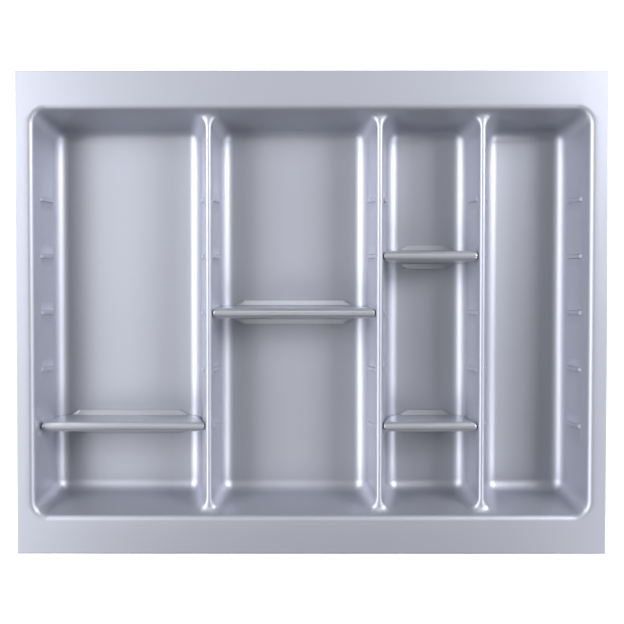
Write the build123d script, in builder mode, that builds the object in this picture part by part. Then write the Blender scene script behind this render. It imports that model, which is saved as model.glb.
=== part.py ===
"""A cutlery tray for a wide kitchen drawer, with four loose cross dividers.

The tray is one sheet of plastic drawn over a mould: a flat rim, four tapered
compartments side by side and three hollow ridges between them. A divider
stands on the floor of a compartment and hooks over a pair of small ribs on
the walls. Millimetres, +Z up, +Y towards the back of the drawer. The origin
is the centre of the tray's footprint, on the surface that the tray stands on.
"""

import os
from math import cos, radians, sin, tan

from build123d import *

# Tray, sheet and compartments
tray_height = 60.0
sheet = 2.0
end_draft = 17.0
side_draft = 14.0
ridge_draft = 10.5
wide_pitch = 175.0
narrow_pitch = 105.0
wall_lead = 2.2
basin_width = 413.4
side_flange = 17.8
end_flange = 38.3
floor_radius = 14.5
corner_lead = 0.5
rim_radius = 6.5

# Ridges between the compartments
ridge_drop = 9.6
crown_radius = 3.2

# Locating ribs on the compartments' side walls
rib_rows = 5
rib_pitch = 58.5
rib_width = 4.6
rib_proud = 1.3
rib_root = 0.8
rib_round = 1.1
rib_drop = 16.0
rib_rise = 11.5

# Cross dividers
divider_height = 45.0
divider_base_width = 14.0
divider_top_width = 10.0
divider_top_flat = 0.4
divider_end_lead = 0.2
divider_wall = 1.8
foot_width = 25.0
foot_end_width = 15.0
foot_thickness = 2.0
foot_chamfer_length = 8.5
foot_setback = 1.5
foot_corner_radius = 2.0

# Clearances around a divider at rest
divider_gap = 0.35
toe_gap = 0.3
slot_gap = 0.4

# Extra length for tools that cut right through
overrun = 1.0

# The compartment of each divider, counted from the left, and its rib row, counted from the front, both from 0
divider_places = {
    "wide_divider_left": (0, 0),
    "wide_divider_middle": (1, 2),
    "narrow_divider_rear": (2, 3),
    "narrow_divider_front": (2, 0),
}

pitches = (wide_pitch, wide_pitch, narrow_pitch, narrow_pitch)
corner_radius = floor_radius + corner_lead
basin_length = sum(pitches) + 2 * wall_lead
rim_length = basin_length + 2 * side_flange
rim_width = basin_width + 2 * end_flange
crown_z = tray_height - ridge_drop
crown_centre_z = crown_z - crown_radius
land_z = crown_centre_z + crown_radius * sin(radians(ridge_draft))

# Lines between compartments, from the left end of the basin to the right
pitch_lines = [sum(pitches[:count]) - sum(pitches) / 2 for count in range(len(pitches) + 1)]
ridge_lines = pitch_lines[1:-1]
ridge_half_at_rim = crown_radius * cos(radians(ridge_draft)) - (tray_height - land_z) * tan(radians(ridge_draft))

# Walls, each as its place at the height of the rim and its draft: front and rear, then each compartment's two sides
end_walls = ((-basin_width / 2, end_draft), (basin_width / 2, end_draft))
basin_walls = ((-basin_length / 2, side_draft), (basin_length / 2, side_draft))
side_walls = []
for number in range(len(pitches)):
    left = (pitch_lines[number] + ridge_half_at_rim, ridge_draft)
    right = (pitch_lines[number + 1] - ridge_half_at_rim, ridge_draft)
    if number == 0:
        left = basin_walls[0]
    if number == len(pitches) - 1:
        right = basin_walls[1]
    side_walls.append((left, right))

rib_places = [(row - (rib_rows - 1) / 2) * rib_pitch for row in range(rib_rows)]


def wall_at(wall, side, z, clear=0):
    """Place of a drafted wall at height z, or of a plane inside it by clear; side is 1 for a left or front wall."""
    line, draft = wall
    return line + side * ((tray_height - z) * tan(radians(draft)) + clear / cos(radians(draft)))


def section(walls, low_z, high_z, clear):
    """Corners of the section between two facing walls, from low_z up to high_z, inside them by clear."""
    near, far = walls
    return [
        (wall_at(near, 1, low_z, clear), low_z),
        (wall_at(far, -1, low_z, clear), low_z),
        (wall_at(far, -1, high_z, clear), high_z),
        (wall_at(near, 1, high_z, clear), high_z),
    ]


def tapered_space(walls, bottom, skin, bottom_radius):
    """A space with drafted walls and rounded corners, from the rim down to bottom, grown all round by a skin."""
    with BuildPart() as space:
        with BuildSketch(Plane.XZ):
            with BuildLine():
                Polyline(*section(walls, bottom - skin, tray_height, -skin), close=True)
            make_face()
        extrude(amount=rim_width, both=True)
        with BuildSketch(Plane.YZ):
            with BuildLine():
                Polyline(*section(end_walls, bottom - skin, tray_height, -skin), close=True)
            make_face()
        extrude(amount=rim_length, both=True, mode=Mode.INTERSECT)
        uprights = space.edges().filter_by(lambda edge: edge.bounding_box().size.Z > sheet)
        fillet(uprights, corner_radius + skin)
        if bottom_radius:
            fillet(space.faces().sort_by(Axis.Z)[0].edges(), bottom_radius + skin)
    return space.part


def inner_space(skin):
    """Everything above the tray's skin: a shallow basin over the four compartments."""
    with BuildPart() as space:
        add(tapered_space(basin_walls, land_z, skin, 0))
        for walls in side_walls:
            add(tapered_space(walls, sheet, skin, floor_radius))
    return space.part


# Locating ribs
rib_top_z = tray_height - rib_drop
rib_bottom_z = sheet + rib_rise
rib_middle_z = (rib_top_z + rib_bottom_z) / 2


def rib(draft):
    """One rib for a wall of the given draft, lying on the XY plane with its length along Y."""
    rib_length = (rib_top_z - rib_bottom_z) / cos(radians(draft))
    with BuildPart() as shape:
        with BuildSketch(Plane.XY.offset(-rib_root)):
            SlotOverall(rib_length, rib_width, rotation=90)
        extrude(amount=rib_root + rib_proud)
        fillet(shape.faces().sort_by(Axis.Z)[-1].edges(), rib_round)
    return shape.part


def ribs_on(wall, side):
    """The planes of a wall's row of ribs: each lies on the wall, halfway up a rib, and faces into the compartment."""
    facing = (side * cos(radians(wall[1])), 0, sin(radians(wall[1])))
    place = wall_at(wall, side, rib_middle_z)
    return [Plane(origin=(place, y, rib_middle_z), x_dir=(0, 1, 0), z_dir=facing) for y in rib_places]


# The tray
with BuildPart() as tray:
    with BuildSketch(Plane.XY.offset(tray_height)):
        Rectangle(rim_length, rim_width)
    extrude(amount=-sheet)
    add(inner_space(sheet))
    add(inner_space(0), mode=Mode.SUBTRACT)
    mouth = tray.faces().sort_by(Axis.Z)[-1].inner_wires()
    fillet(mouth.edges(), rim_radius)
    rim_underside = tray.faces().filter_by(Axis.Z).group_by(Axis.Z)[-2]
    fillet(rim_underside[0].inner_wires().edges(), rim_radius - sheet)
    # Rounded crowns that close the top of each ridge, hollow from below
    crown_length = basin_width - 2 * ridge_drop * tan(radians(end_draft)) + sheet
    for radius, low_z, reach, mode in (
        (crown_radius, land_z - sheet, crown_length / 2, Mode.ADD),
        (crown_radius - sheet, land_z - sheet - overrun, crown_length / 2 + overrun, Mode.SUBTRACT),
    ):
        half = radius * cos(radians(ridge_draft))
        tangent_z = crown_centre_z + radius * sin(radians(ridge_draft))
        half_below = half + (tangent_z - low_z) * tan(radians(ridge_draft))
        with BuildSketch(Plane.XZ):
            for x in ridge_lines:
                with Locations((x, crown_centre_z)):
                    Circle(radius)
                with BuildLine():
                    Polyline(
                        (x - half_below, low_z),
                        (x - half, tangent_z),
                        (x + half, tangent_z),
                        (x + half_below, low_z),
                        close=True,
                    )
                make_face()
        extrude(amount=reach, both=True, mode=mode)
    for left, right in side_walls:
        for wall, side in ((left, 1), (right, -1)):
            shape = rib(wall[1])
            with Locations(*ribs_on(wall, side)):
                add(shape)


# Dividers: the same section all along, ends that follow the walls and toes that follow the floor's fillets
divider_top_radius = (divider_top_width - divider_top_flat) / 2
divider_end_radius = divider_top_radius + divider_end_lead
base_z = sheet + divider_gap
top_z = base_z + divider_height
lean = (divider_base_width - divider_top_width) / 2 / divider_height
toe_centre_z = sheet + floor_radius
slot_width = rib_width + 2 * slot_gap
slot_depth = divider_gap + divider_wall + overrun


def toe_x(wall, side):
    """X of the centre line of the fillet between the floor and a side wall."""
    return wall_at(wall, side, toe_centre_z, floor_radius)


def bar(walls, y, inset):
    """The long hollow body of a divider, shrunk by inset and left long at the bottom."""
    low_z = base_z - overrun
    high_z = top_z - inset
    low_half = divider_base_width / 2 - inset + (base_z - low_z) * lean
    high_half = divider_top_width / 2 - inset + inset * lean
    with BuildPart() as body:
        with BuildSketch(Plane.XZ.offset(-y)) as side_view:
            with BuildLine():
                Polyline(*section(walls, low_z, high_z, divider_gap + inset), close=True)
            make_face()
            fillet(side_view.vertices().group_by(Axis.Y)[-1], divider_end_radius - inset)
        extrude(amount=divider_base_width, both=True)
        with BuildSketch(Plane.YZ):
            with BuildLine():
                Polyline(
                    (y - low_half, low_z),
                    (y + low_half, low_z),
                    (y + high_half, high_z),
                    (y - high_half, high_z),
                    close=True,
                )
            make_face()
        extrude(amount=basin_length, both=True, mode=Mode.INTERSECT)
        for side_face in (body.faces().sort_by(Axis.Y)[0], body.faces().sort_by(Axis.Y)[-1]):
            fillet(side_face.edges().sort_by(Axis.Z)[1:], divider_top_radius - inset)
        # Toes that clear the fillets between floor and walls
        reach = 2 * floor_radius
        with BuildSketch(Plane.XZ.offset(-y)):
            for wall, side in zip(walls, (1, -1)):
                centre_x = toe_x(wall, side)
                out_x = centre_x - side * reach * cos(radians(wall[1]))
                with BuildLine():
                    Polyline(
                        (centre_x, toe_centre_z),
                        (out_x, toe_centre_z - reach * sin(radians(wall[1]))),
                        (out_x, toe_centre_z - reach),
                        (centre_x, toe_centre_z - reach),
                        close=True,
                    )
                make_face()
            with Locations(*[(toe_x(wall, side), toe_centre_z) for wall, side in zip(walls, (1, -1))]):
                Circle(floor_radius - toe_gap - inset, mode=Mode.SUBTRACT)
        extrude(amount=divider_base_width, both=True, mode=Mode.SUBTRACT)
    return body.part


def divider(compartment, row):
    """A loose divider: a hollow bar open below, on a flat foot, with a slot in each end that straddles a rib."""
    walls = side_walls[compartment]
    y = rib_places[row]
    foot_left = toe_x(walls[0], 1) + foot_setback
    foot_right = toe_x(walls[1], -1) - foot_setback
    with BuildPart() as piece:
        add(bar(walls, y, 0))
        with BuildSketch(Plane.XY.offset(base_z - overrun)):
            Rectangle(rim_length, rim_width)
        extrude(amount=overrun, mode=Mode.SUBTRACT)
        with BuildSketch(Plane.XY.offset(base_z)) as foot:
            with BuildLine():
                Polyline(
                    (foot_left, y - foot_end_width / 2),
                    (foot_left + foot_chamfer_length, y - foot_width / 2),
                    (foot_right - foot_chamfer_length, y - foot_width / 2),
                    (foot_right, y - foot_end_width / 2),
                    (foot_right, y + foot_end_width / 2),
                    (foot_right - foot_chamfer_length, y + foot_width / 2),
                    (foot_left + foot_chamfer_length, y + foot_width / 2),
                    (foot_left, y + foot_end_width / 2),
                    close=True,
                )
            make_face()
            fillet(foot.vertices(), foot_corner_radius)
        extrude(amount=foot_thickness)
        add(bar(walls, y, divider_wall), mode=Mode.SUBTRACT)
        with BuildSketch(Plane.XZ.offset(-y)):
            for wall, side in zip(walls, (1, -1)):
                low_z = base_z - overrun
                high_z = rib_top_z + slot_gap
                with BuildLine():
                    Polyline(
                        (wall_at(wall, side, low_z), low_z),
                        (wall_at(wall, side, low_z, slot_depth), low_z),
                        (wall_at(wall, side, high_z, slot_depth), high_z),
                        (wall_at(wall, side, high_z), high_z),
                        close=True,
                    )
                make_face()
        extrude(amount=slot_width / 2, both=True, mode=Mode.SUBTRACT)
    return piece.part


tray.part.label = "tray"
os.makedirs("parts", exist_ok=True)
export_step(tray.part, "parts/tray.step")
for name, (compartment, row) in divider_places.items():
    piece = divider(compartment, row)
    piece.label = name
    export_step(piece, f"parts/{name}.step")
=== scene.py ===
"""A cutlery tray seen from straight above: one formed sheet of silver-grey plastic and four loose dividers.

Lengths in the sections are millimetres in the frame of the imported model, +Z up, and each mesh is scaled to
metres as it is made.
"""

import math

import bpy
import numpy as np
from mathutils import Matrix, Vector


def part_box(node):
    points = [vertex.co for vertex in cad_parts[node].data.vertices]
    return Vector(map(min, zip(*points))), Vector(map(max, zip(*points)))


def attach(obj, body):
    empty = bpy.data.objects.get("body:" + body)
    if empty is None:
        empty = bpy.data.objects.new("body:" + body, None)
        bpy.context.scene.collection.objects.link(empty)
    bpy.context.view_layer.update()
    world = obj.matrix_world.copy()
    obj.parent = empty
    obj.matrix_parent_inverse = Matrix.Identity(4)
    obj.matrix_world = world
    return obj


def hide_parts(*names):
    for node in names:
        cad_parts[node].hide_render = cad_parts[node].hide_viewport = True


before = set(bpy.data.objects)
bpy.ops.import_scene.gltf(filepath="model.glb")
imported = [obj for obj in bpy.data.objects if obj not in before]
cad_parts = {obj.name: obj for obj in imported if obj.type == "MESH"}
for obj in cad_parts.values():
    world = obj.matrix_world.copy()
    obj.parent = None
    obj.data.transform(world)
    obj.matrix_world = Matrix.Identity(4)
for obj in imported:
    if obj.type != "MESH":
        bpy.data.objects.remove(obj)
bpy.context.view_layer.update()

MM = 0.001

# The tray
# One sheet of silver-grey plastic, heated and drawn down over a mould, then trimmed square at the rim. It has
# four tapered compartments, three hollow ridges between them, lower than the rim, and five rows of small ribs on
# the compartments' side walls. It is all one skin, so it is one surface here.

tray_low, tray_high = (np.array(corner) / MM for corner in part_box("tray"))
rim_half_x, rim_half_y, rim_z = tray_high
sheet = 2.0
floor_z = tray_low[2] + sheet
end_draft = math.radians(17)
side_draft = math.radians(14)
ridge_draft = math.radians(10.5)
opening_half_x = 282.2
opening_half_y = 206.7
floor_ball = 14.5
corner_lead = 0.5
rim_round = 6.5
edge_bevel = 0.3
ridge_z = 50.4
ridge_round = 3.2
ridge_end_ball = 8.0
crown_growth = 1.1
crown_growth_share = 0.85
ridge_lines = (-105.0, 70.0, 175.0)
# Half the width of a ridge where its two walls, carried on upwards, would reach the height of the rim
ridge_half = ridge_round * math.cos(ridge_draft) - math.tan(ridge_draft) * (
    rim_z - ridge_z + ridge_round * (1 - math.sin(ridge_draft))
)
# Each compartment's left and right walls: the place where the wall would reach the height of the rim, and its draft
compartments = tuple(
    zip(
        ((-opening_half_x, side_draft),) + tuple((line + ridge_half, ridge_draft) for line in ridge_lines),
        tuple((line - ridge_half, ridge_draft) for line in ridge_lines) + ((opening_half_x, side_draft),),
    )
)
rib_rows = (-117.0, -58.5, 0.0, 58.5, 117.0)
rib_top_z = 44.0
rib_bottom_z = 13.5
rib_half = 2.6
rib_flank = 0.9
rib_run_out = 5.0
rib_proud = 1.5


def toe_in(draft, bottom, ball):
    """How far inside a wall's line at the rim a ball's centre is when it rests on the bottom against the wall."""
    return (rim_z - bottom - ball) * math.tan(draft) + ball / math.cos(draft)


def hollow(x, y, left_wall, right_wall, bottom, ball, lead):
    """Height and slopes of a tapered hollow with rounded corners, as if a ball were rolled round inside it.

    The ball's centre keeps within a smaller tapered box, one ball radius inside the walls. Over each place the
    centre is lifted by a climb, which also moves each side of its box outwards by the climb times that wall's
    lean. The climb that brings the ball's underside lowest there is found by halving, and that is the wall. The
    box's upright corners are rounded to the lead, so the hollow's have the ball's radius plus the lead.
    """
    (left, left_draft), (right, right_draft) = left_wall, right_wall
    from_left = left + toe_in(left_draft, bottom, ball) + lead - x
    from_right = x - (right - toe_in(right_draft, bottom, ball) - lead)
    on_left = from_left > from_right
    u = np.maximum(from_left, from_right)
    lean_x = np.where(on_left, math.tan(left_draft), math.tan(right_draft))
    v = np.abs(y) - (opening_half_y - toe_in(end_draft, bottom, ball) - lead)
    lean_y = math.tan(end_draft)
    far_above = 4000.0
    halvings = 44
    low = np.zeros_like(u)
    high = np.full_like(u, far_above)
    for _ in range(halvings):
        climb = (low + high) / 2
        du = np.maximum(u - climb * lean_x, 0)
        dv = np.maximum(v - climb * lean_y, 0)
        run = np.hypot(du, dv)
        away = np.maximum(run - lead, 0)
        depth = np.sqrt(np.maximum(ball**2 - away**2, 1e-12))
        rise = away * (lean_x * du + lean_y * dv) / np.maximum(run, 1e-9) / depth
        too_low = (away >= ball) | (rise > 1)
        low = np.where(too_low, climb, low)
        high = np.where(too_low, high, climb)
    climb = high
    du = np.maximum(u - climb * lean_x, 0)
    dv = np.maximum(v - climb * lean_y, 0)
    run = np.maximum(np.hypot(du, dv), 1e-9)
    away = np.clip(run - lead, 0, 0.9999 * ball)
    depth = np.sqrt(ball**2 - away**2)
    slope = away / depth / run
    return bottom + ball + climb - depth, slope * du * np.where(on_left, -1, 1), slope * dv * np.sign(y)


def lower(one, other):
    """The lower of two surfaces at each place, with its slopes."""
    pick = one[0] <= other[0]
    return tuple(np.where(pick, a, b) for a, b in zip(one, other))


def rounded_edge(one, other, radius):
    """The lower of two surfaces, with the outward edge between them rounded to a radius.

    Each surface is taken as a plane with its height and slopes there. Both planes are sunk by the radius. From
    the line where the sunk planes cross, the rounded surface is one radius away, measured across the line.
    """
    (z1, x1, y1), (z2, x2, y2) = one, other
    long1 = np.sqrt(1 + x1**2 + y1**2)
    long2 = np.sqrt(1 + x2**2 + y2**2)
    c = (1 + x1 * x2 + y1 * y2) / (long1 * long2)
    k = 1 - c**2
    p1, q1 = 1 / long1, radius - z1 / long1
    p2, q2 = 1 / long2, radius - z2 / long2
    a = p1**2 + p2**2 - 2 * c * p1 * p2
    b = p1 * q1 + p2 * q2 - c * (p1 * q2 + p2 * q1)
    d = q1**2 + q2**2 - 2 * c * q1 * q2 - k * radius**2
    z = (-b + np.sqrt(np.maximum(b**2 - a * d, 0))) / np.maximum(a, 1e-9)
    e1 = p1 * z + q1
    e2 = p2 * z + q2
    w1 = e1 - c * e2
    w2 = e2 - c * e1
    round_here = (k > 1e-5) & (w1 > 0) & (w2 > 0) & (b**2 > a * d)
    nz = np.maximum(w1 * p1 + w2 * p2, 1e-9)
    sx = (w1 * p1 * x1 + w2 * p2 * x2) / nz
    sy = (w1 * p1 * y1 + w2 * p2 * y2) / nz
    plain = lower(one, other)
    return tuple(np.where(round_here, a, b) for a, b in zip((z, sx, sy), plain))


def tray_top(x, y):
    """Height and slopes of the tray's upper face.

    The air in the tray is a shallow basin and four deep compartments. The face is the lowest of their hollows,
    with the edges between compartment and ridge, and between recess and rim, rounded over. Near a ridge's ends
    its two edges part along the compartments' round corners, and the rounding grows a little faster than they part.
    """
    corner = floor_ball + corner_lead
    basin = hollow(x, y, (-opening_half_x, side_draft), (opening_half_x, side_draft), ridge_z, ridge_end_ball,
                   corner - ridge_end_ball)
    corner_y = opening_half_y - (rim_z - ridge_z) * math.tan(end_draft) - corner
    past_corner = np.clip(np.abs(y) - corner_y, 0, crown_growth_share * corner)
    crown_round = ridge_round + crown_growth * (corner - np.sqrt(corner**2 - past_corner**2))
    face = basin
    for left_wall, right_wall in compartments:
        pocket = hollow(x, y, left_wall, right_wall, floor_z, floor_ball, corner_lead)
        face = lower(face, rounded_edge(basin, pocket, crown_round))
    flat = (np.full_like(x, rim_z), np.zeros_like(x), np.zeros_like(x))
    return rounded_edge(flat, face, rim_round)


def arc_steps(centre, radius, start, end, count):
    """Places along a line at even angles of a circle, from start to end degrees away from straight down."""
    return centre + radius * np.sin(np.radians(np.linspace(start, end, count)))


def wall_lines(side, line, draft):
    """Grid lines across one side wall that would reach the rim's height at line; side is 1 for a left wall."""
    toe = line + side * toe_in(draft, floor_z, floor_ball)
    past_rib_end = np.array([-0.1, 0.6, 1.5, 2.5, 3.7, 5.1])
    along_rib = [20.0, 28.8, 37.0]
    heights = np.concatenate([rib_bottom_z + past_rib_end, rib_top_z - past_rib_end, along_rib])
    wall = line + side * (rim_z - heights) * math.tan(draft)
    fillet_turn, fillet_lines = 78, 9
    return np.concatenate([wall, arc_steps(toe, floor_ball, 0, -side * fillet_turn, fillet_lines)])


def grid_lines():
    """Lines of the tray's grid along X and along Y: close together on edges, fillets, ribs and ridge ends."""
    rim_tangent_x = rim_round * (1 - math.sin(side_draft)) / math.cos(side_draft)
    rim_tangent_y = rim_round * (1 - math.sin(end_draft)) / math.cos(end_draft)
    rim_turn_x, rim_turn_y, rim_lines = 76, 73, 9
    crown_turn, crown_lines = 79, 13
    end_wall_first, end_wall_last, end_wall_lines = 2.4, 34.0, 26
    floor_margin, wide_enough = 40, 130
    on_rim = edge_bevel + np.array([0.0, 1.2, 8.0])
    beside_crown = np.array([-7.0, -5.3, -4.0, 4.0, 5.3, 7.0])
    flank_shares = np.array([0, 0.18, 0.39, 0.61, 0.82, 1, 1.7])
    past_rib = np.array([12.0, 29.25, 46.5])
    on_flats = np.array([rim_half_y - 20, opening_half_y - 42, 145.0])
    xs = [np.concatenate([-rim_half_x + on_rim, rim_half_x - on_rim])]
    ys = [np.concatenate([-rim_half_y + on_rim, rim_half_y - on_rim])]
    for side in (-1, 1):
        xs.append(arc_steps(side * (opening_half_x + rim_tangent_x), rim_round, 0, -side * rim_turn_x, rim_lines))
        ys.append(arc_steps(side * (opening_half_y + rim_tangent_y), rim_round, 0, -side * rim_turn_y, rim_lines))
        ys.append(side * (opening_half_y - np.linspace(end_wall_first, end_wall_last, end_wall_lines)))
        ys.append(side * on_flats)
    for (left, left_draft), (right, right_draft) in compartments:
        xs += [wall_lines(1, left, left_draft), wall_lines(-1, right, right_draft)]
        floor_lines = 4 if right - left > wide_enough else 2
        xs.append(np.linspace(left + floor_margin, right - floor_margin, floor_lines))
    for line in ridge_lines:
        xs += [arc_steps(line, ridge_round, -crown_turn, crown_turn, crown_lines), line + beside_crown]
    for row in rib_rows:
        across = rib_half - rib_flank * flank_shares
        ys.append(row + np.concatenate([-across, [0], across]))
    for row in rib_rows[:-1]:
        ys.append(row + past_rib)
    return tuple(np.unique(np.round(np.concatenate(lines), 3)) for lines in (xs, ys))


def eased(share):
    """A share of the way from 0 to 1, with a smooth start and end."""
    share = np.clip(share, 0, 1)
    return share**2 * (3 - 2 * share)


def rib_height(y, z):
    """How far a rib stands off its wall: a flat bar with steep flanks, running out gently at its ends."""
    half_length = (rib_top_z - rib_bottom_z) / 2 / math.cos(side_draft)
    along = np.abs(z - (rib_top_z + rib_bottom_z) / 2) / math.cos(side_draft)
    across = np.min([np.abs(y - row) for row in rib_rows], axis=0)
    return rib_proud * eased((rib_half - across) / rib_flank) * eased((half_length - along) / rib_run_out)


def mesh_object(name, points, faces):
    """An object at the origin from an array of points in millimetres and lists of faces, smoothly shaded."""
    mesh = bpy.data.meshes.new(name)
    mesh.from_pydata((points * MM).tolist(), [], faces)
    mesh.polygons.foreach_set("use_smooth", np.ones(len(mesh.polygons), bool))
    mesh.update()
    made = bpy.data.objects.new(name, mesh)
    bpy.context.scene.collection.objects.link(made)
    return made


def grid_faces(rows, columns, first=0, turned=False):
    """Quads of a grid whose points are numbered row by row from first; turned faces look the other way."""
    corner = first + (np.arange(rows - 1)[:, None] * columns + np.arange(columns - 1)).ravel()
    quads = np.stack([corner, corner + columns, corner + columns + 1, corner + 1], axis=1)
    return quads[:, ::-1].tolist() if turned else quads.tolist()


def tray_sheet():
    """The whole sheet: the upper face with its ribs, the lower face one sheet below it, and the trimmed edge.

    The grid stops one bevel short of the edge, and two rings of points one bevel further out close the skin.
    """
    xs, ys = grid_lines()
    x, y = (a.astype(float) for a in np.meshgrid(xs, ys, indexing="ij"))
    z, slope_x, slope_y = tray_top(x, y)
    normal = np.stack([-slope_x, -slope_y, np.ones_like(z)], axis=-1)
    normal /= np.linalg.norm(normal, axis=-1, keepdims=True)
    nearly = 0.98
    on_side_wall = np.abs(slope_x) > nearly / math.tan(side_draft)
    top = np.stack([x, y, z], axis=-1) + normal * (rib_height(y, z) * on_side_wall)[..., None]
    under = top - normal * sheet
    rows, columns = x.shape
    count = rows * columns
    index = np.arange(count).reshape(rows, columns)
    border = np.concatenate([index[:-1, 0], index[-1, :-1], index[:0:-1, -1], index[0, :0:-1]])
    edge_xy = top.reshape(-1, 3)[border, :2]
    last_line = np.abs(edge_xy).max(axis=0)
    outward = np.sign(edge_xy) * np.isclose(np.abs(edge_xy), last_line, atol=0.01)
    edge = [np.column_stack([edge_xy + edge_bevel * outward, np.full(len(border), height)])
            for height in (rim_z - edge_bevel, rim_z - sheet + edge_bevel)]
    points = np.concatenate([top.reshape(-1, 3), under.reshape(-1, 3)] + edge)
    points[:, 2] = np.maximum(points[:, 2], tray_low[2])
    rings = [border, 2 * count + np.arange(len(border)), 2 * count + len(border) + np.arange(len(border)),
             count + border]
    faces = grid_faces(rows, columns) + grid_faces(rows, columns, first=count, turned=True)
    for upper, below in zip(rings[:-1], rings[1:]):
        faces += np.stack([upper, below, np.roll(below, -1), np.roll(upper, -1)], axis=1).tolist()
    return mesh_object("tray_sheet", points, faces)


tray = tray_sheet()


def linear(code):
    """An sRGB hex colour as linear red, green, blue and 1."""
    parts = [int(code[i:i + 2], 16) / 255 for i in (1, 3, 5)]
    return [p / 12.92 if p <= 0.04045 else ((p + 0.055) / 1.055) ** 2.4 for p in parts] + [1.0]


def add_node(tree, kind, links=(), values=(), **settings):
    """A node with its properties set. A link pairs an input with an output, a value pairs an input with a value."""
    node = tree.nodes.new(kind)
    for name, value in settings.items():
        setattr(node, name, value)
    for socket, value in values:
        node.inputs[socket].default_value = value
    for socket, source in links:
        tree.links.new(source, node.inputs[socket])
    return node


def silver_plastic(name, high_colour, low_colour_painted_lighter, roughness, grain_scale):
    """Polystyrene filled with aluminium flake: satin, slightly blue, and reflecting much as a rough metal does.

    It is a little lighter low down: painted light that brightens the floors and other low parts. Faint clouds of
    tone from uneven flow, about 55 mm across, vary it too. A fine grain from the mould varies its gloss. The real
    grain is about 0.1 mm and too fine to show, so it is drawn at about 1 mm and kept very shallow. A pattern's scale
    is one metre over its size.
    """
    material = bpy.data.materials.new(name)
    material.use_nodes = True
    tree = material.node_tree
    shader = tree.nodes["Principled BSDF"]
    shader.inputs["Metallic"].default_value = 0.8
    place = add_node(tree, "ShaderNodeTexCoord").outputs["Object"]
    height = add_node(tree, "ShaderNodeSeparateXYZ", [("Vector", place)])
    # Painted light: the colour is a little lighter low down, which brightens the floors and other low parts
    low = add_node(tree, "ShaderNodeMapRange", [("Value", height.outputs["Z"])],
                   [("From Min", 0.055), ("From Max", 0.005)])
    flow = add_node(tree, "ShaderNodeTexNoise", [("Vector", place)], [("Scale", 18.0), ("Detail", 2.0)])
    clouds = add_node(tree, "ShaderNodeMapRange", [("Value", flow.outputs["Fac"])],
                      [("From Min", 0.3), ("From Max", 0.7), ("To Min", -0.2), ("To Max", 0.2)])
    share = add_node(tree, "ShaderNodeMath", [(0, low.outputs["Result"]), (1, clouds.outputs["Result"])],
                     operation="ADD", use_clamp=True)
    colour = add_node(tree, "ShaderNodeMix", [("Factor", share.outputs[0])], data_type="RGBA")
    colour.inputs["A"].default_value = linear(high_colour)
    colour.inputs["B"].default_value = linear(low_colour_painted_lighter)
    grain = add_node(tree, "ShaderNodeTexNoise", [("Vector", place)], [("Scale", grain_scale), ("Detail", 1.0)])
    gloss = add_node(tree, "ShaderNodeMapRange", [("Value", grain.outputs["Fac"])],
                     [("To Min", roughness - 0.04), ("To Max", roughness + 0.04)])
    relief = add_node(tree, "ShaderNodeBump", [("Height", grain.outputs["Fac"])],
                      [("Strength", 0.5), ("Distance", 0.000005)])
    tree.links.new(colour.outputs["Result"], shader.inputs["Base Color"])
    tree.links.new(gloss.outputs["Result"], shader.inputs["Roughness"])
    tree.links.new(relief.outputs["Normal"], shader.inputs["Normal"])
    return material


tray.data.materials.append(silver_plastic("flake_polystyrene_vacuum_formed", "#a2a4af", "#a4a6b1", 0.5, 1000.0))
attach(tray, "tray")
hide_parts("tray")

# The loose dividers
# Each is a hollow bar of the same grey plastic on a flat foot, injection moulded in one piece and open below. It
# is held by its fit alone: its ends follow the sloping walls, and a groove in each end straddles a rib. Its colour
# is drawn lighter than the tray's. A little of that is the dividers' own shade, and the rest is painted light that
# brightens their tops and sides.

divider_seats = {
    "wide_divider_left": (0, rib_rows[0]),
    "wide_divider_middle": (1, rib_rows[2]),
    "narrow_divider_rear": (2, rib_rows[3]),
    "narrow_divider_front": (2, rib_rows[0]),
}
wall_gap = 0.35
toe_gap = 0.3
seat_z = sheet + wall_gap
bar_top_z = seat_z + 45.0
bar_half_low = 7.0
bar_lean = 2.0 / 45.0
bar_round = 4.8
end_lead = 0.1
end_round = 1.2
bar_wall = 1.8
groove_depth = 1.5
groove_top_z = rib_top_z + 0.4
foot_thick = 2.0
foot_half = 12.5
foot_end_half = 7.5
foot_taper = 8.5
foot_round = 0.2
foot_blend = 0.8
toe_z = floor_z + floor_ball
foot_past_toe = 1.5


def bar_end(z, inset, draft):
    """How far a divider's end lies inward of its wall's place at the rim, at height z, for a skin set in by inset.

    The end is a line beside the drafted wall. Below, it is an arc about the centre of the tray's floor fillet.
    Above, it stands upright, up to a small arc at the top's edge.
    """
    line = (rim_z - z) * math.tan(draft) + (wall_gap + inset) / math.cos(draft)
    reach = floor_ball - toe_gap - inset
    toe = toe_in(draft, floor_z, floor_ball) - np.sqrt(np.maximum(reach**2 - (toe_z - z) ** 2, 0))
    upright = (rim_z - bar_top_z + bar_round) * math.tan(draft) + (wall_gap + bar_round) / math.cos(draft)
    upright += inset + end_lead - bar_round
    past = np.clip(z - bar_top_z + end_round, 0, end_round)
    end = np.where(z < toe_z - reach * math.sin(draft), toe, np.maximum(line, upright))
    return end + end_round - np.sqrt(np.maximum(end_round**2 - past**2, 0))


def foot_in(draft):
    """How far inward of a wall's line at the rim the foot's end is."""
    return toe_in(draft, floor_z, floor_ball) + foot_past_toe


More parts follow.
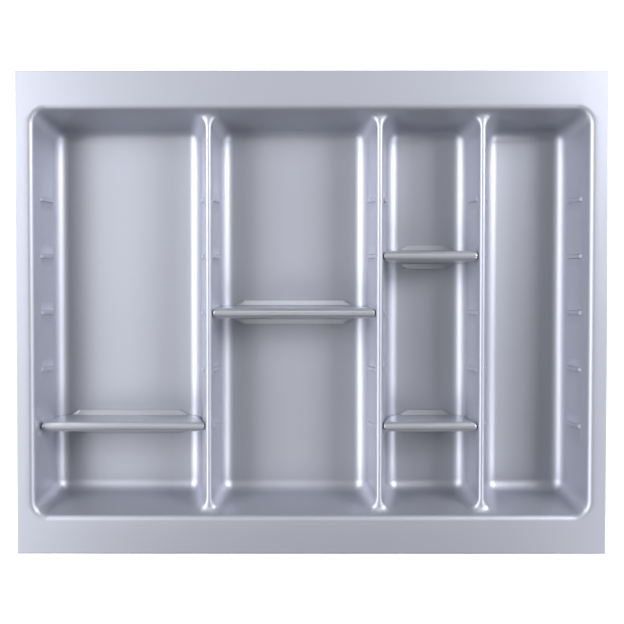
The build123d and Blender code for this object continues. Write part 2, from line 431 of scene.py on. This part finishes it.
def end_outline(z, half, inset, end_inset, draft, grooved):
    """One end of a divider's level outlines, from its middle to its side: distances across and inward."""
    foot_clear, least_corner, most_corner_share = 0.8, 0.02, 0.86
    end = bar_end(z, inset, draft) + end_inset
    corner = np.clip(foot_in(draft) - foot_clear - end, least_corner, most_corner_share * half)
    # Across the end: places near the middle, of which the first four are in the groove, drawn in where the bar is
    # narrow, and then even angles round the corner
    groove_places, narrow_half, corner_places, last_first_share = 4, 4.7, 8, 0.95
    near = np.array([0, 0.9, 1.8, 2.7, 3.0, 3.4]) * np.minimum(half / narrow_half, 1)
    first = np.arcsin(np.clip((near[:, -1:] - half + corner) / corner, 0, last_first_share))
    angle = first + (math.pi / 2 - first) * np.linspace(0, 1, corner_places + 1)[1:]
    across = np.concatenate([near, half - corner + corner * np.sin(angle)], axis=1)
    share = np.clip((across - half + corner) / corner, 0, 1)
    inward = end + corner * (1 - np.sqrt(1 - share**2))
    if grooved:
        groove = (rim_z - z) * math.tan(draft) + (wall_gap + groove_depth) / math.cos(draft)
        in_groove = (z < groove_top_z) & (np.arange(across.shape[1]) < groove_places)
        inward = np.where(in_groove, np.maximum(inward, groove), inward)
    return across, inward


def bar_rings(left_wall, right_wall, z, inset, end_inset, grooved):
    """Level outlines of a divider's bar at heights z, as X and Y from its middle line, one row for each height.

    Each outline is a rectangle with rounded corners. Its ends are at bar_end. Its half width falls with height by
    the lean of the sides, and above the centre of the top's rounding it is that of a circle about the centre.
    """
    (left, left_draft), (right, right_draft) = left_wall, right_wall
    z = z[:, None]
    turn_z = bar_top_z - bar_round
    centre_half = bar_half_low - (turn_z - seat_z) * bar_lean - bar_round
    least_dome = 0.03
    dome = np.sqrt(np.maximum((bar_round - inset) ** 2 - np.maximum(z - turn_z, 0) ** 2, least_dome**2))
    half = np.where(z > turn_z, centre_half + dome, bar_half_low - inset - (z - seat_z) * bar_lean)
    left_y, left_in = end_outline(z, half, inset, end_inset, left_draft, grooved)
    right_y, right_in = end_outline(z, half, inset, end_inset, right_draft, grooved)
    # Places along the side, from each end of the foot inward, close together at its ends and past its taper
    past_foot_end = np.array([-0.6, -0.3, 0, 0.3, 0.6, 1.5, 3.0, 5.0, 7.0, 7.8, 8.2, 8.5, 8.8, 9.2, 10.0, 14.0])
    places = np.concatenate([left + foot_in(left_draft) + past_foot_end, [(left + right) / 2],
                             right - foot_in(right_draft) - past_foot_end[::-1]])
    along = np.repeat(places[None, :], len(z), axis=0)
    side = np.repeat(half, len(places), axis=1)
    x = np.concatenate([left + left_in, along, right - right_in[:, ::-1], right - right_in[:, 1:], along[:, ::-1],
                        left + left_in[:, :0:-1]], axis=1)
    y = np.concatenate([left_y, side, right_y[:, ::-1], -right_y[:, 1:], -side, -left_y[:, :0:-1]], axis=1)
    return x, y


def foot_reach(left_wall, right_wall, x, y):
    """How far the foot's edge stands out past a point of the bar's outline: an oblong with tapered ends.

    Its half width is the lower of the taper's line and the full half width, with the corner between them eased.
    """
    (left, left_draft), (right, right_draft) = left_wall, right_wall
    taper_ease, end_ease = 0.3, 0.6
    inward = np.minimum(x - left - foot_in(left_draft), right - foot_in(right_draft) - x)
    taper = foot_end_half + inward * (foot_half - foot_end_half) / foot_taper
    edge = (taper + foot_half - np.sqrt((taper - foot_half) ** 2 + taper_ease**2)) / 2
    return eased((inward + end_ease) / (2 * end_ease)) * np.maximum(edge - np.abs(y), 0)


def divider(name, compartment, row_y):
    """One divider as a stack of closed rings: up the inside of the bar, out under the foot and up the outside."""
    left_wall, right_wall = compartments[compartment]
    behind_groove = 0.3
    inner_top = bar_top_z - bar_wall
    turn_z = bar_top_z - bar_round
    inner_wall_z = [seat_z, 6.0, 9.0, 12.0, 20.0, 30.0, 38.0]
    inner_turn_angles = np.array([0, 20, 40, 60, 75, 88])
    inner_z = np.concatenate([inner_wall_z, turn_z + (inner_top - turn_z) * np.sin(np.radians(inner_turn_angles))])
    inner_x, inner_y = bar_rings(left_wall, right_wall, inner_z[::-1], bar_wall, groove_depth + behind_groove, False)
    # Rings of the foot: height, share of the foot's reach, and distance from there, before the wall goes up. Two
    # of them are at one height, so where there is no foot the second is lifted a little off the first.
    shelf, shelf_lift = 5, 0.1
    under_bevel, arc_share = 0.3, 0.3
    foot = np.array([
        (0.0, 1, -under_bevel), (under_bevel, 1, 0.0), (foot_thick - foot_round, 1, 0.0),
        (foot_thick - arc_share * foot_round, 1, -arc_share * foot_round), (foot_thick, 1, -foot_round),
        (foot_thick, 0, foot_blend), (foot_thick + arc_share * foot_blend, 0, arc_share * foot_blend),
        (foot_thick + foot_blend, 0, 0.0),
    ])
    wall_z = np.array([6.5, 8.5, 10.5, 12.4, 16.0, 22.0, 29.0, 36.0, 40.0, 41.2, 42.4])
    turn_angles = np.array([2.0, 7.0, 12.0, 18.0, 22.4, 25.6, 32, 40, 50, 60, 70, 78, 85, 89.5])
    turn = turn_z + bar_round * np.sin(np.radians(turn_angles))
    outer_z = np.concatenate([seat_z + foot[:, 0], wall_z, turn])
    outer_x, outer_y = bar_rings(left_wall, right_wall, outer_z, 0.0, 0.0, True)
    reach = foot_reach(left_wall, right_wall, outer_x, outer_y)
    fade = np.clip(reach / (foot_round + foot_blend), 0, 1)
    share = np.concatenate([foot[:, 1], np.zeros(len(outer_z) - len(foot))])[:, None]
    away = np.concatenate([foot[:, 2], np.zeros(len(outer_z) - len(foot))])[:, None]
    outer_y = outer_y + np.sign(outer_y) * (share * reach + away * fade)
    x = np.concatenate([inner_x, outer_x])
    y = np.concatenate([inner_y, outer_y]) + row_y
    on_shelf = (np.arange(len(outer_z)) == shelf)[:, None]
    z = np.concatenate([np.repeat(inner_z[::-1][:, None], x.shape[1], axis=1),
                        outer_z[:, None] + shelf_lift * (1 - fade) * on_shelf])
    rings, count = x.shape
    points = np.stack([x, y, z], axis=-1).reshape(-1, 3)
    corner = np.arange(rings - 1)[:, None] * count + np.arange(count)
    following = np.arange(rings - 1)[:, None] * count + (np.arange(count) + 1) % count
    sides = np.stack([corner, corner + count, following + count, following], axis=-1).reshape(-1, 4)
    half = count // 2
    k = np.arange(1, half - 1)
    cap = np.stack([k, k + 1, count - k - 1, count - k], axis=1)
    ends = np.array([(0, 1, count - 1), (half - 1, half, half + 1)])
    last = (rings - 1) * count
    faces = sides.tolist() + cap.tolist() + ends.tolist()
    faces += (last + cap[:, ::-1]).tolist() + (last + ends[:, ::-1]).tolist()
    return mesh_object(name, points, faces)


# The dividers' colour is lighter than the tray's: partly their own shade, mostly painted light brightening their
# tops and sides
moulded_plastic_painted_lighter = silver_plastic("flake_polystyrene_injection_moulded", "#b6b8c1", "#babcc5", 0.34, 1300.0)
for node, (compartment, row_y) in divider_seats.items():
    piece = divider(node + "_bar", compartment, row_y)
    piece.data.materials.append(moulded_plastic_painted_lighter)
    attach(piece, node)
    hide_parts(node)

# The stand
# A white table, much larger than the tray. The lamps light it, so it keeps the tray's shadow. A light of its own,
# for the camera, in reflections and through clear material, makes it as white as the photograph's ground.

table_half = 1.8
table_corners = [(x * table_half, y * table_half, 0) for x, y in ((-1, -1), (1, -1), (1, 1), (-1, 1))]
floor_mesh = bpy.data.meshes.new("floor")
floor_mesh.from_pydata(table_corners, [], [(0, 1, 2, 3)])
floor = bpy.data.objects.new("floor", floor_mesh)
bpy.context.scene.collection.objects.link(floor)


def seen_white(tree, strength_socket, *rays):
    """Let a strength be 1 for what the camera sees directly, and for these kinds of ray, and nothing for others."""
    path = add_node(tree, "ShaderNodeLightPath")
    seen = path.outputs["Is Camera Ray"]
    for ray in rays:
        both = add_node(tree, "ShaderNodeMath", [(0, seen), (1, path.outputs[ray])], operation="MAXIMUM")
        seen = both.outputs[0]
    tree.links.new(seen, strength_socket)


white = bpy.data.materials.new("white_painted_table")
white.use_nodes = True
white_shader = white.node_tree.nodes["Principled BSDF"]
white_shader.inputs["Base Color"].default_value = linear("#f2f2f2")
white_shader.inputs["Roughness"].default_value = 0.9
white_shader.inputs["Emission Color"].default_value = (0.7, 0.7, 0.7, 1)
seen_white(white.node_tree, white_shader.inputs["Emission Strength"], "Is Glossy Ray", "Is Transmission Ray")
floor_mesh.materials.append(white)

# The light
# Two banks of round soft boxes left and right of the tray, near enough for their light to fall off over it, and
# three weak ones high over its front and rear. The room is white to look at, but not in reflections, since a skin
# as rough as this would be lit by it all over. Each lamp is a place on a dome over the tray, with its height and
# bearing in degrees and its power in watts.

world = bpy.data.worlds.new("studio")
world.use_nodes = True
bpy.context.scene.world = world
room = world.node_tree.nodes["Background"]
room.inputs["Color"].default_value = (1, 1, 1, 1)
seen_white(world.node_tree, room.inputs["Strength"], "Is Transmission Ray")

dome_radius = 1.5
lamp_size = 0.5
lamp_places = (
    (20, 0, 1.0), (20, 30, 4.4), (20, 60, 1.8), (20, 120, 2.4), (20, 150, 4.0), (20, 210, 3.2),
    (34, 30, 17.6), (34, 150, 9.6), (34, 165, 4.0), (34, 210, 10.6), (34, 330, 9.4),
    (46, 20, 3.6), (46, 160, 4.6), (46, 180, 4.9), (58, 90, 0.6), (72, 90, 1.0), (72, 270, 0.9),
)
for height, bearing, power in lamp_places:
    name = f"soft_box_{bearing}_{height}"
    lamp_data = bpy.data.lights.new(name, "AREA")
    lamp_data.shape = "DISK"
    lamp_data.size = lamp_size
    lamp_data.energy = power
    lamp = bpy.data.objects.new(name, lamp_data)
    bpy.context.scene.collection.objects.link(lamp)
    tilt = math.radians(90 - height)
    turn = math.radians(bearing)
    across = dome_radius * math.sin(tilt)
    lamp.location = (across * math.cos(turn), across * math.sin(turn), dome_radius * math.cos(tilt))
    lamp.rotation_euler = (tilt, 0, turn + math.radians(90))
    lamp.visible_camera = False

# The camera
# It hangs 1.14 m over the drawer's floor, a little off the tray's middle and leaning by a degree and a half. The
# shift keeps the tray where it is in the frame.

camera_data = bpy.data.cameras.new("camera")
camera = bpy.data.objects.new("camera", camera_data)
bpy.context.scene.collection.objects.link(camera)
bpy.context.scene.camera = camera
camera_data.lens = 61.45
camera_data.shift_x = 0.0407
camera_data.shift_y = 0.0017
camera_data.clip_end = 20
camera.location = (-0.0235, 0.0284, 1.138)
camera.rotation_euler = (math.radians(-1.487), math.radians(0.083), 0)

bpy.context.scene.view_settings.view_transform = "Standard"
